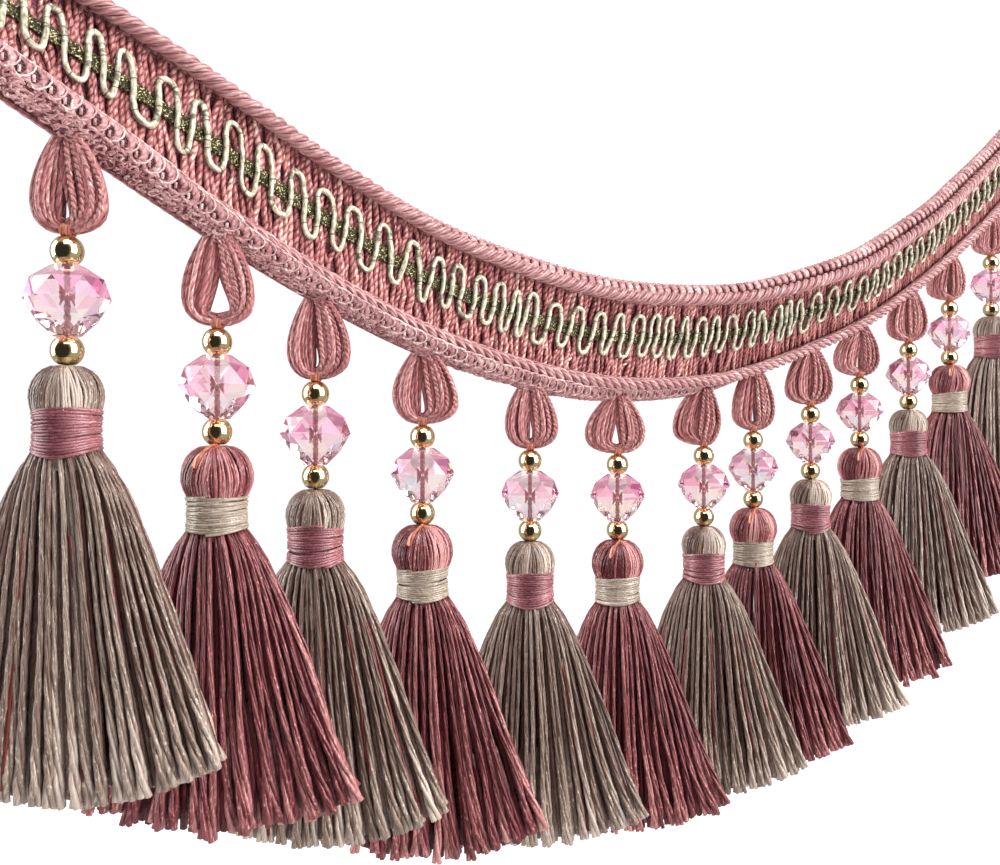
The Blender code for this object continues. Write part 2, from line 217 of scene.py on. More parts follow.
def tape_point(x, out, across):
    """Points near the tape: out from its cloth's middle, and across from the lower bend."""
    x, out, across = np.broadcast_arrays(x, out, across)
    run = unit(route_point(x + ROUTE_STEP) - route_point(x - ROUTE_STEP))
    level_out = unit(np.cross(run, UP))
    level_up = np.cross(level_out, run)
    lean = np.radians(at("lean", x))[..., None]
    face_up = level_up * np.cos(lean) - level_out * np.sin(lean)
    face_out = level_out * np.cos(lean) + level_up * np.sin(lean)
    return route_point(x) + face_out * out[..., None] + face_up * across[..., None]


ORIGIN = tape_point(0.0, 0.0, FACE_WIDTH)


def cloth_point(x, walk, lift=0.0):
    """Points on the tape. walk goes across it from the lower bend, below 0 on the lower flange, and
    lift stands off the cloth's middle."""
    x, walk, lift = np.broadcast_arrays(x, walk, lift)
    beyond = np.maximum(-walk, 0.0) + np.maximum(walk - FACE_WIDTH, 0.0)
    side = np.where(walk < 0.0, -1.0, 1.0)
    roll = np.radians(np.where(walk < 0.0, at("low_roll", x), at("high_roll", x)))
    curved = np.minimum(beyond, BEND_WALK)
    flat = beyond - curved
    turn = roll * curved / BEND_WALK
    out = -curved * turn / 2 * np.sinc(turn / TURN) ** 2 - flat * np.sin(turn)
    over = curved * np.sinc(turn / math.pi) + flat * np.cos(turn)
    across = np.clip(walk, 0.0, FACE_WIDTH) + side * over
    return tape_point(x, out + lift * np.cos(turn), across + side * lift * np.sin(turn)) - ORIGIN


def laid(x, walk, lift):
    """Lines on the tape, and the way out from its cloth along them."""
    lines = cloth_point(x, walk, lift)
    return lines, cloth_point(x, walk, lift + MM) - lines


ROUTE_SAMPLES = np.linspace(0.0, ALONG[-1], 3001)
ROUTE_RUN = lengths(cloth_point(ROUTE_SAMPLES, FACE_WIDTH / 2))
TAPE_RUN = ROUTE_RUN[-1]


def place(run):
    """The place along the route of a length along the tape."""
    return np.interp(run, ROUTE_RUN, ROUTE_SAMPLES)


def woven(run, walk):
    """The place along the route of a yarn that crosses the cloth askew."""
    return place(run + at("skew", place(run)) * (walk / FACE_WIDTH - 0.5))


def paced(step):
    """Lengths along the tape at even steps."""
    return np.linspace(0.0, TAPE_RUN, int(TAPE_RUN / step) + 1)


def beside_and_out(lines, facing=None):
    """Two directions square to each line, the second near facing or carried along."""
    run = unit(np.gradient(lines, axis=1))
    if facing is None:
        guide = np.where(np.abs(run[:, 0, 2:]) > 0.9, np.array((0.9, 0.43, 0.0)), UP)
        carried = [square(guide, run[:, 0])]
        for along in run.transpose(1, 0, 2)[1:]:
            carried.append(square(carried[-1], along))
        out = np.stack(carried, axis=1)
    else:
        out = square(facing, run)
    return np.cross(run, out), out


def twisted(lines, plies, radius, pitch, facing=None, start=0.0):
    """Lines that wind round the given ones, pitch to a full turn."""
    side, out = beside_and_out(lines, facing)
    winding = TURN * lengths(lines) / pitch + start
    reach = np.broadcast_to(radius, winding.shape)[..., None]
    turns = [(winding + TURN * ply / plies)[..., None] for ply in range(plies)]
    return np.concatenate([lines + reach * (np.cos(turn) * side + np.sin(turn) * out) for turn in turns])


def added(name, data):
    """A new object in the scene."""
    made = bpy.data.objects.new(name, data)
    bpy.context.scene.collection.objects.link(made)
    return made


class Bundle:
    """Yarns and turned forms, gathered into one piece."""

    def __init__(self):
        self.points, self.faces, self.maps, self.tones, self.shares, self.flat = ([] for _ in range(6))
        self.count = 0

    def add(self, points, tone, share):
        """Add points with their tones and shares, and number them."""
        index = self.count + np.arange(points.size // 3).reshape(points.shape[:-1])
        self.count += index.size
        self.points.append(points.reshape(-1, 3))
        self.tones.append(np.broadcast_to(tone, index.shape).reshape(-1))
        self.shares.append(np.broadcast_to(share, index.shape).reshape(-1))
        return index

    def cover(self, corners, values, flat):
        """Add faces from their corners, with the yarn map's values at each."""
        self.faces.append(corners)
        self.maps.append(np.broadcast_to(values, corners.shape + (2,)).reshape(-1))
        self.flat.append(np.full(len(corners), flat))

    def skin(self, grid, across, along, tone, share):
        """Skin grids of points (grids, steps, sides, 3). across and along are the yarn map's values."""
        index = self.add(grid, tone, share)
        near = np.stack(np.broadcast_arrays(index, along, across), axis=-1)
        far = np.roll(near, -1, axis=2)
        far[:, :, -1, 2] = near[:, :, -1, 2] + (near[:, :, 1, 2] - near[:, :, 0, 2])
        quads = np.stack((near[:, :-1], near[:, 1:], far[:, 1:], far[:, :-1]), axis=-2).reshape(-1, 4, 3)
        self.cover(quads[..., 0].astype(int), quads[..., 1:], False)
        return index

    def close(self, index, start=0.0, end=0.0, across=0.0):
        """Close both ends of skinned grids."""
        self.cover(index[:, 0], (start, across), True)
        self.cover(index[:, -1, ::-1], (end, across), True)

    def yarns(self, lines, radius, sides, tone=0.5, flat=1.0, facing=None, share=None):
        """Round or flattened yarns along lines of points (lines, steps, 3)."""
        shape = lines.shape[:2]
        side, out = beside_and_out(lines, facing)
        angles = TURN * np.arange(sides)[:, None] / sides
        ring = np.cos(angles) * side[:, :, None] + flat * np.sin(angles) * out[:, :, None]
        grid = lines[:, :, None] + np.broadcast_to(radius, shape)[:, :, None, None] * ring
        tone = np.asarray(tone, float)
        tone = np.broadcast_to(tone if tone.ndim > 1 else tone[..., None], shape)
        start = (tone[:, :1] * 37.0 + np.arange(shape[0])[:, None] * 0.61) % 9.0
        along = (lengths(lines) / MM + start)[:, :, None]
        share = np.broadcast_to(shares(shape[1]) if share is None else share, shape)
        index = self.skin(grid, np.arange(sides) / sides, along, tone[:, :, None], share[:, :, None])
        self.close(index, along[0, 0, 0], along[0, -1, 0], 0.5)
        return self

    def cloth(self, front, back, run, across, tone, share):
        """A cloth between its front and its back, both (steps, rows, 3)."""
        grid = np.concatenate((front, back), axis=1)[None]
        self.close(self.skin(grid, across, (run / MM)[None, :, None], tone, share))
        return self

    def turned(self, profile, sides, tone=0.5):
        """A profile of (radius, height) in millimetres, from the top down, turned about its axis."""
        radius, height = profile.T[:, :, None]
        grid = spots_round(radius, TURN * np.arange(sides) / sides, height)[None]
        share = shares(len(profile))[None, :, None]
        self.skin(grid, np.arange(sides) / sides, lengths(profile)[None, :, None], tone, share)
        return self

    def facets(self, corners, tone):
        """Flat triangles (triangles, 3, 3), each with its own tone."""
        self.cover(self.add(corners, tone[:, None], 0.0), (0.0, 0.0), True)
        return self

    def piece(self, name, finish, slot, *nodes, carrier=None):
        """Make the piece, in the place of its CAD nodes. Its carrier is where a tassel hangs."""
        points = np.concatenate(self.points)
        if carrier is not None:
            points = carrier + points @ np.stack((TASSEL_RIGHT, TASSEL_BACK, UP))
        mesh = bpy.data.meshes.new(name)
        mesh.from_pydata(points, [], [corners for block in self.faces for corners in block.tolist()])
        mesh.polygons.foreach_set("use_smooth", ~np.concatenate(self.flat))
        yarn = mesh.uv_layers.new(name="yarn")
        yarn.data.foreach_set("uv", np.concatenate(self.maps).astype(np.float32))
        for title, values in (("tone", self.tones), ("share", self.shares)):
            layer = mesh.attributes.new(title, "FLOAT", "POINT")
            layer.data.foreach_set("value", np.concatenate(values).astype(np.float32))
        mesh.validate()
        mesh.materials.append(finish)
        made = added(name, mesh)
        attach(made, "root")
        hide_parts(*nodes)
        return made


class Wire:
    """A shader socket on which arithmetic adds Math nodes."""

    def __init__(self, finish, socket):
        self.finish = finish
        self.socket = socket

    def math(self, operation, *values):
        return self.finish.node("ShaderNodeMath", dict(enumerate(values)), operation=operation)

    def other(self, name):
        return Wire(self.finish, self.socket.node.outputs[name])

    def __add__(self, value):
        return self.math("ADD", self, value)

    def __radd__(self, value):
        return self.math("ADD", value, self)

    def __sub__(self, value):
        return self.math("SUBTRACT", self, value)

    def __rsub__(self, value):
        return self.math("SUBTRACT", value, self)

    def __mul__(self, value):
        return self.math("MULTIPLY", self, value)

    def __rmul__(self, value):
        return self.math("MULTIPLY", value, self)

    def __truediv__(self, value):
        return self.math("DIVIDE", self, value)

    def __pow__(self, value):
        return self.math("POWER", self, value)

    def only(self, operation):
        return self.math(operation, self)

    def above(self, low, high):
        """0 below low, 1 above high, and smooth between."""
        values = {"Value": self, "From Min": low, "From Max": high}
        return self.finish.node("ShaderNodeMapRange", values, interpolation_type="SMOOTHSTEP")


class Finish:
    """A material put together node by node."""

    def __init__(self, owner):
        owner.use_nodes = True
        self.owner = owner
        self.tree = owner.node_tree
        self.tree.nodes.clear()

    def node(self, kind, values=None, output=0, **settings):
        """Add a node, with the values or links of its sockets and its settings."""
        made = self.tree.nodes.new(kind)
        for name, value in settings.items():
            if name == "stops":
                ramp = made.color_ramp.elements
                ramp.remove(ramp[1])
                ramp[0].position = value[0][0]
                ramp[0].color = (*value[0][1], 1.0)
                for position, colour in value[1:]:
                    ramp.new(position).color = (*colour, 1.0)
            else:
                setattr(made, name, value)
        for name, value in (values or {}).items():
            if isinstance(value, Wire):
                self.tree.links.new(value.socket, made.inputs[name])
            else:
                made.inputs[name].default_value = value
        return Wire(self, made.outputs[output]) if made.outputs else None

    def ramp(self, value, *stops):
        return self.node("ShaderNodeValToRGB", {0: value}, stops=stops)

    def mix(self, amount, first, second):
        """Mix two colours."""
        first, second = ((*c, 1.0) if isinstance(c, tuple) else c for c in (first, second))
        return self.node("ShaderNodeMix", {0: amount, 6: first, 7: second}, 2, data_type="RGBA")

    def value(self, title):
        return self.node("ShaderNodeAttribute", attribute_name=title).other("Fac")

    def grain(self, x, y, z, detail=2.0):
        """Noise from three values."""
        vector = self.node("ShaderNodeCombineXYZ", {0: x, 1: y, 2: z})
        return self.node("ShaderNodeTexNoise", {"Vector": vector, "Scale": 1.0, "Detail": detail})

    def surface(self, values, height=None, depth=0.0):
        """The shader and its output, with a bump as high as depth."""
        if height is not None:
            bump = {"Height": height, "Distance": depth, "Strength": 1.0}
            values = {**values, "Normal": self.node("ShaderNodeBump", bump)}
        shader = self.node("ShaderNodeBsdfPrincipled", values)
        self.node("ShaderNodeOutputMaterial", {"Surface": shader})
        return self.owner


def new_finish(name):
    return Finish(bpy.data.materials.new(name))


def yarn_finish(name):
    """A new finish, and its distances along the yarn in millimetres and round it in turns."""
    finish = new_finish(name)
    parts = finish.node("ShaderNodeSeparateXYZ", {0: finish.node("ShaderNodeUVMap", uv_map="yarn")})
    return finish, parts, parts.other("Y")


def satin_yarn(name, colours, pitch=1.2, starts=2, ply=0.0, lay=0.8, fibre=0.6, roughness=0.34,
               depth=0.1 * MM, painted_hem_light=0.0, uneven=0.5, glint=0.25):
    """Rayon yarn: twisted plies, fine fibres, painted glints, painted light towards its end, and a shade of
    its own.
    """
    finish, along, round_it = yarn_finish(name)
    tone = finish.value("tone")
    saw = (along / pitch + round_it * starts).only("FRACT")
    plies = saw * (1.0 - saw) * 4.0
    fibres = finish.grain(along * 0.4, round_it * 8.0 + along * lay, tone * 40.0)
    patches = finish.grain(along * 0.12, tone * 90.0, 3.0, 1.0)
    # Painted highlights: small glints are painted into the colour as pale flecks, and lower the roughness
    # there.
    painted_glints = finish.grain(along * 1.4, round_it * 5.0, tone * 17.0).above(0.57, 0.66)
    shade = tone * uneven + (fibres - 0.5) * fibre + (patches - 0.5) * 0.5 + (plies - 0.65) * ply
    # Painted light and shade: the colour pales towards the end of each yarn's share, the hem of a skirt,
    # and the upper part stays dark as if shaded.
    shade = shade + painted_glints * glint + finish.value("share") ** 4.0 * painted_hem_light + (0.5 - uneven / 2)
    return finish.surface({
        "Base Color": finish.ramp(shade, *zip((0.0, 0.42, 0.78, 1.0), colours)),
        "Roughness": roughness + (fibres - 0.5) * 0.2 - painted_glints * 0.1,
        "Sheen Weight": 0.06, "Sheen Roughness": 0.4, "Specular IOR Level": 0.7,
    }, plies * (0.7 if ply else 0.0) + fibres * 0.6, depth)


def cord_gimp():
    """Cream cord wound with thread, painted light on one side and shade on the other, with dark stitches
    here and there.
    """
    finish, along, round_it = yarn_finish("cream_gimp")
    wound = ((along * 3.0 + round_it) * TURN).only("SINE")
    spacing = (along * 0.2 + finish.grain(along * 0.3, 5.0, 1.0) * 2.2 + round_it * 0.15).only("FRACT")
    stitches = 1.0 - (spacing - 0.5).only("ABSOLUTE").above(0.015, 0.06)
    grime = finish.grain(along * 0.9, round_it * 5.0, 7.0)
    # Painted light and shade: a sine round the cord pales its colour on one side and greys it on the other.
    front = (round_it * TURN).only("SINE")
    shade = grime * 1.9 + front * 0.32 + wound * 0.03 - 0.66
    cream = finish.ramp(
        shade, (0.1, (0.14, 0.12, 0.055)), (0.4, (0.40, 0.37, 0.25)), (0.8, (0.80, 0.72, 0.59)))
    return finish.surface({
        "Base Color": finish.mix(stitches * 0.75, cream, (0.05, 0.05, 0.02)),
        "Roughness": 0.5 - grime * 0.1, "Sheen Weight": 0.1,
    }, wound * 0.06 - stitches * 0.8 + grime, 0.12 * MM)


def olive_metal():
    """Flat olive braid with glints of gold thread."""
    finish, along, round_it = yarn_finish("olive_braid")
    speckle = finish.grain(along * 2.4, round_it * 3.0, finish.value("tone") * 60.0)
    glint = speckle.above(0.56, 0.64)
    base = finish.ramp(
        speckle, (0.3, (0.010, 0.007, 0.002)), (0.55, (0.05, 0.038, 0.012)), (0.8, (0.20, 0.17, 0.07)))
    return finish.surface({
        "Base Color": finish.mix(glint, base, (0.56, 0.49, 0.25)),
        "Roughness": 0.55 - glint * 0.22, "Metallic": glint * 0.6, "Specular IOR Level": 0.25,
    }, speckle, 0.15 * MM)


def gold_plate():
    """Pale champagne gold over brass, with faint drag marks round it."""
    finish, along, round_it = yarn_finish("gold_plate")
    wear = finish.grain(along * 5.0, round_it * 3.0, 2.0, 3.0)
    base = finish.ramp(
        wear, (0.3, (0.82, 0.60, 0.27)), (0.6, (0.93, 0.76, 0.43)), (0.85, (0.97, 0.85, 0.58)))
    values = {"Base Color": base, "Roughness": 0.07 + wear * 0.08, "Metallic": 1.0}
    return finish.surface(values, wear, 0.004 * MM)


def pink_crystal():
    """Cut glass, each facet with its own painted tint, and a deeper pink painted where it is seen edge-on.
    """
    finish = new_finish("pink_crystal")
    # Painted light: facets seen edge-on are mixed towards deep pink, for the colour light gathers in the
    # glass.
    painted_slant_tint = finish.node("ShaderNodeLayerWeight", {"Blend": 0.5}).other("Facing").above(0.45, 0.95)
    colour = finish.ramp(
        finish.value("tone"), (0.0, (0.74, 0.74, 0.78)), (0.1, (0.95, 0.83, 0.85)),
        (0.2, (0.97, 0.84, 0.7)), (0.35, (0.96, 0.77, 0.8)), (0.6, (0.94, 0.62, 0.69)),
        (0.8, (0.86, 0.3, 0.46)), (1.0, (0.74, 0.13, 0.32)))
    return finish.surface({
        "Base Color": finish.mix(painted_slant_tint * 0.7, colour, (0.80, 0.27, 0.42)), "Roughness": 0.02,
        "Transmission Weight": 0.93, "IOR": 1.38, "Coat Weight": 0.6, "Coat Roughness": 0.02,
    })


def tape_ground():
    """The tape's ground: painted dark in front, as the shade between the yarns, pink and ribbed at the
    back.
    """
    finish, along, across = yarn_finish("tape_ground")
    ribs = (along * TURN).only("SINE")
    threads = (across * 1.6 * TURN).only("SINE")
    blots = finish.grain(along * 0.7, across * 0.7, 4.0)
    shade = finish.value("tone") * 0.7 + ribs * 0.08 + threads * 0.06 + (blots - 0.5) * 0.5
    colour = finish.ramp(
        shade, (0.0, (0.055, 0.005, 0.008)), (0.18, (0.14, 0.022, 0.028)), (0.5, (0.32, 0.09, 0.095)),
        (0.9, (0.56, 0.25, 0.26)))
    values = {"Base Color": colour, "Roughness": 0.75 - blots * 0.15, "Sheen Weight": 0.2}
    return finish.surface(values, threads * 0.5 + ribs * 0.3 + blots * 0.5, 0.15 * MM)


def make_finishes():
    """The materials of the fringe."""
    pink = ((0.09, 0.009, 0.011), (0.36, 0.098, 0.098), (0.61, 0.25, 0.23), (0.92, 0.64, 0.56))
    rope = ((0.13, 0.022, 0.026), (0.4, 0.165, 0.168), (0.61, 0.34, 0.335), (0.88, 0.66, 0.63))
    taupe = ((0.085, 0.028, 0.02), (0.15, 0.09, 0.068), (0.3, 0.215, 0.17), (0.57, 0.46, 0.39))
    rose = ((0.07, 0.006, 0.009), (0.14, 0.02, 0.025), (0.3, 0.083, 0.086), (0.62, 0.29, 0.28))
    loop = ((0.1, 0.012, 0.014), (0.33, 0.09, 0.092), (0.55, 0.235, 0.225), (0.86, 0.58, 0.54))
    mauve = ((0.12, 0.028, 0.038), (0.29, 0.092, 0.105), (0.48, 0.205, 0.22), (0.78, 0.5, 0.5))
    cream = ((0.15, 0.11, 0.08), (0.35, 0.275, 0.21), (0.56, 0.47, 0.385), (0.85, 0.77, 0.67))
    orange = ((0.2, 0.025, 0.012), (0.42, 0.1, 0.055), (0.62, 0.24, 0.16), (0.85, 0.48, 0.36))
    brown = ((0.06, 0.01, 0.012), (0.17, 0.04, 0.045), (0.3, 0.095, 0.098), (0.5, 0.22, 0.21))
    skirt = {"lay": 1.6, "roughness": 0.3, "uneven": 0.75, "glint": 0.4}
    red = ((0.04, 0.003, 0.003), (0.14, 0.012, 0.01), (0.26, 0.045, 0.035), (0.5, 0.19, 0.14))
    return {
        "ground": tape_ground(),
        "face": satin_yarn("face_yarn", pink, 1.3, 2, 0.35, 0.8, 0.5, 0.3, 0.3 * MM, glint=0.3),
        "rope": satin_yarn("rope_satin", rope, 2.4, -5, 0.35, -0.65, 0.8, depth=0.2 * MM, uneven=0.3),
        "stitch": satin_yarn("edge_stitch_thread", rope, 1.0, 2, 0.2, roughness=0.42, uneven=0.9),
        "loop": satin_yarn("loop_yarn", loop, 1.9, 2, 0.22, 0.8, 0.5, 0.32, 0.2 * MM),
        "tie": satin_yarn("tie_thread", orange, roughness=0.45),
        "taupe": satin_yarn("taupe_yarn", taupe, painted_hem_light=0.4, **skirt),
        "rose": satin_yarn("rose_yarn", rose, painted_hem_light=0.2, **skirt),
        "pink_wrap": satin_yarn("pink_wrap_thread", mauve, fibre=1.1, roughness=0.25, depth=0.08 * MM),
        "cream_wrap": satin_yarn("cream_wrap_thread", cream, fibre=1.1, roughness=0.28, depth=0.08 * MM),
        "thread": satin_yarn("bead_thread", brown, roughness=0.5),
        "red": satin_yarn("dark_red_thread", red, lay=1.6, roughness=0.35),
        "cream": cord_gimp(),
        "olive": olive_metal(),
        "gold": gold_plate(),
        "crystal": pink_crystal(),
    }


def ground_cloth():
    """The tape's ribbed cloth with its flanges, as one sheet."""
    run = paced(1.0 * MM)
    corner = 0.6 * MM
    rows = np.concatenate((
        np.linspace(-FLANGE_WALK, -corner, 6),
        np.linspace(corner, FACE_WIDTH - corner, 7),
        np.linspace(FACE_WIDTH + corner, FACE_WIDTH + FLANGE_WALK, 6),
    ))
    rib = 0.09 * MM * np.where(np.arange(len(run)) % 2, 1.0, -1.0)[:, None]
    x = place(run)[:, None]
    front = cloth_point(x, rows, 0.02 * MM + rib * 0.6)
    back = cloth_point(x, rows[::-1], -0.5 * MM - rib)
    across = np.concatenate((rows, rows[::-1] + 40 * MM)) / MM
    # Painted shade: the ground under the face yarns takes a low tone, dark like the shade between them.
    flange = np.where(np.abs(rows - FACE_WIDTH / 2) > FACE_WIDTH / 2, 0.75, 0.28)
    return Bundle().cloth(front, back, run, across, np.concatenate((flange, np.ones(len(rows)))), 0.5)


def face_yarns():
    """The chained yarns that cross the face side by side, a little askew."""
    rng = default_rng(11)
    run = paced(1.05 * MM)[1:-1, None]
    count = len(run)
    steps = 19
    walk = np.linspace(0.2 * MM, FACE_WIDTH - 0.2 * MM, steps)
    x = woven(run + drift(rng, 0.33 * MM, 8, steps, count), walk)
    lines, facing = laid(x, walk, drift(rng, 0.13 * MM, 8, steps, count, 0.30 * MM))
    thick = rng.normal(0.52, 0.05, (count, 1)) * MM
    return Bundle().yarns(lines, thick, 6, rng.uniform(0.0, 1.0, count), 0.85, facing)


def rope_plies(walk, hand, tones):
    """A rope of three satin plies along an edge of the face."""
    rng = default_rng(21 + int(walk > 0))
    lines, facing = laid(place(paced(0.5 * MM))[None], walk, ROPE_LIFT)
    plies = twisted(lines, 3, 0.80 * MM, hand * 3 * STITCH_PITCH, facing)
    return Bundle().yarns(plies, 0.64 * MM, 8, rng.uniform(*tones, 3))


def upper_stitches():
    """The broad stitches over the upper flange, and the cord along its edge."""
    rng = default_rng(31)
    run = paced(STITCH_PITCH)[:-1, None] + STITCH_PITCH / 2
    count = len(run)
    share = shares(7)
    x = place(run + (share - 0.5) * 0.9 * MM + rng.normal(0.0, 0.06 * MM, (count, 1)))
    lift = (0.35 + 0.25 * np.sin(math.pi * share)) * MM
    lines, facing = laid(x, FACE_WIDTH + (0.4 + 2.5 * share) * MM, lift)
    bundle = Bundle().yarns(lines, 0.96 * MM, 6, rng.uniform(0.3, 0.8, count), 0.4, facing)
    edge = cloth_point(place(paced(0.75 * MM))[None], FACE_WIDTH + 3.35 * MM, 0.25 * MM)
    return bundle.yarns(twisted(edge, 2, 0.27 * MM, STITCH_PITCH), 0.36 * MM, 5, (0.4, 0.6))


def edge_point(run, down, rise):
    """Points on the chained cover of the lower edge, which sits lower where the tape leans back."""
    x = place(run)
    away = np.linalg.norm(route_point(x)[..., :2] - CAMERA_PLACE[:2], axis=-1)
    brow = 1.45 * (np.radians(at("lean", x)) + np.arctan2(at("up", x), away))
    bare = 2.9 * (1.0 - eased(brow, 0.15, 0.75))
    down = down + (np.maximum(brow, 0.0) + bare) * (1.0 - down / EDGE_DOWN[-1])
    walk = smooth(EDGE_DOWN, EDGE_WALK, down)
    lift = smooth(EDGE_DOWN, EDGE_LIFT, down)
    tuck = eased(at("low_roll", x), 5.0, 60.0) * eased(-walk, 0.0, 1.0)
    lift = lift + (0.7 - lift) * tuck
    beside = np.clip(walk / EDGE_WALK[0], -0.3, 1.0)
    return cloth_point(x, (walk + rise * beside) * MM, (lift + rise * np.sqrt(1.0 - beside**2)) * MM)


def lower_stitches():
    """The blanket stitches of the lower edge: each has a hook over the rope, a satin tongue, strands
    round a hole and a fluffy edge of small loops."""
    rng = default_rng(41)
    run = paced(STITCH_PITCH)[1:-2, None]
    count = len(run)
    bundle = Bundle()

    def stitch(along, down, radius, low, high, shaken=0.07, rise=0.05, flat=1.0):
        shake = rng.normal(0.0, shaken, (2, count, 1))
        spot = (run + (np.array(along) + shake[0]) * MM, np.array(down) + shake[1])
        lines = edge_point(*spot, rise)
        sides, facing = (4, None) if flat == 1.0 else (6, edge_point(*spot, rise + 1.0) - lines)
        bundle.yarns(lines, np.array(radius) * MM, sides, rng.uniform(low, high, count), flat, facing)

    knots = shares(9)
    steps = shares(15)
    across = smooth(knots, (-1.5, -0.2, 1.1, 2.0, 2.3, 2.05, 1.5, 0.9, 0.4), steps)
    down = smooth(knots, (0.45, 0.02, -0.02, 0.5, 1.6, 2.6, 3.4, 3.8, 3.6), steps)
    stitch(across, down, 0.18, 0.65, 1.0, rise=0.26)
    stitch((-1.1, -0.1, 0.9, 1.5, 1.7, 1.5, 0.9), (0.62, 0.66, 0.9, 1.5, 2.3, 3.1, 3.6),
        (0.4, 0.6, 0.7, 0.66, 0.56, 0.5, 0.4), 0.25, 0.6, rise=0.07, flat=0.35)
    stitch((-0.75, -0.6, -0.2, 0.5), (1.7, 2.5, 3.3, 3.9), 0.36, 0.3, 0.75, rise=0.08, flat=0.5)
    stitch((0.0, 0.8, 1.7), (3.9, 3.6, 3.75), 0.32, 0.4, 0.8, rise=0.12)
    stitch((0.3, 0.45, 0.7), (2.2, 2.6, 3.1), 0.3, 0.5, 0.9, rise=0.14)
    turn = TURN * np.linspace(0.0, 0.8, 8)
    for across, down, size, radius in (
        (1.9, 4.3, 0.6, 0.3), (0.8, 4.5, 0.55, 0.3), (2.2, 5.1, 0.6, 0.29), (1.2, 5.2, 0.6, 0.29),
        (0.6, 5.9, 0.6, 0.26), (1.8, 6.0, 0.65, 0.26), (1.1, 6.6, 0.55, 0.22), (2.2, 6.7, 0.5, 0.22),
    ):
        wide, tall = size * rng.normal(1.0, 0.3, (2, count, 1))
        lean = turn + rng.uniform(0.0, TURN, (count, 1))
        stitch(across + wide * np.sin(lean), down + tall * np.cos(lean + 0.5), radius, 0.15, 0.8, 0.2)
    return bundle


def lower_web():
    """The web behind the stitches of the lower edge, painted dark where their holes are, as the shade in
    them.
    """
    run = paced(0.8 * MM)
    rows = np.linspace(6.8, 1.5, 9)
    # Painted shade: the rows near the rope, behind the holes, are darkest.
    tone = np.interp(np.concatenate((rows, rows[::-1])), (2.9, 4.0), (0.02, 0.4))
    front = edge_point(run[:, None], rows, 0.03)
    back = edge_point(run[:, None], rows[::-1], -0.6)
    return Bundle().cloth(front, back, run, np.arange(18.0), tone, 0.0)


def braid_strands():
    """The flat braid of crossing metal strands."""
    run = paced(0.6 * MM)
    strands = 8
    phase = run / (4.4 * MM) + np.arange(strands)[:, None] / strands
    swing = np.abs((phase % 1.0) * 4.0 - 2.0) - 1.0
    lift = (1.0 + 0.1 * np.sin(TURN * phase * 4.0)) * MM
    lines = cloth_point(place(run), WAVE_MIDDLE + (swing * 1.25 - 0.3) * MM, lift)
    return Bundle().yarns(lines, 0.27 * MM, 4, np.linspace(0.1, 0.9, strands), 0.7)


def wave_gimp():
    """The cream cord's wave over the braid: straight legs between rounded crests."""
    rng = default_rng(51)
    counts = column("waves")
    turns = int(counts[-1]) + 1
    tall = rng.normal(1.0, 0.06, (turns, 2))
    wide = rng.normal(1.0, 0.17, (turns, 2))
    path = []
    for turn in range(turns):
        for half, side in ((0, 1.0), (1, -1.0)):
            for gap, reach in ((-0.25, 0.5), (-0.16, 1.0), (0.16, 1.0), (0.25, 0.5)):
                path.append((turn + half / 2 + gap * wide[turn, half], side * reach * tall[turn, half]))
    path = np.array(path)
    for _ in range(3):
        near, far = path[:-1], path[1:]
        path = np.stack((near * 0.75 + far * 0.25, near * 0.25 + far * 0.75), axis=1).reshape(-1, 2)
    waves, swing = path.T
    sway = smooth(np.arange(60), rng.normal(0.0, 0.08, 60), waves)
    walk = WAVE_MIDDLE + swing * WAVE_REACH
    run = np.interp(smooth(counts, ALONG, waves + sway), ROUTE_SAMPLES, ROUTE_RUN)
    run = run + 1.8 * MM * (walk - WAVE_MIDDLE - WAVE_REACH) / FACE_WIDTH
    lift = (1.25 + 0.35 * (1.0 - eased(np.abs(swing), 0.2, 0.55))) * MM
    thick = 0.47 + smooth(np.arange(240), rng.normal(0.0, 0.03, 240), waves * 4.0)
    return Bundle().yarns(cloth_point(woven(run, walk), walk, lift)[None], thick * MM, 7)


def colour_of(number):
    return "taupe" if number % 2 else "rose"


def loop_lines(side, lanes, depth, share, top, sway, reach, slit, slit_side):
    """Lines down a loop's side, left (-1) or right. Lanes run from its opening, 0, to its outline, 1."""
    turn = math.pi * share
    full = np.sin(turn / 2)
    narrow = eased(share, 0.72, 1.0)
    thick = 1.0 + 0.85 * full - 0.9 * narrow
    outer = 0.92 * reach * np.sin(turn) * full**1.1
    outer = outer + 1.5 * np.cos(turn / 2) * (0.4 + 0.6 * full) + 0.8 * thick
    gape = slit * eased(share, 0.45, 0.84) * (1.0 - eased(share, 0.87, 0.98))
    inner = side * gape + slit_side * np.sin(turn)
    x = sway * full * (1.0 - narrow * 0.8) + inner + (side * outer - inner) * lanes
    base = 0.6 + 1.3 * (1.0 - lanes)
    return spots(x, depth * thick, base + (top / MM - base) * (1 + np.cos(turn)) / 2)


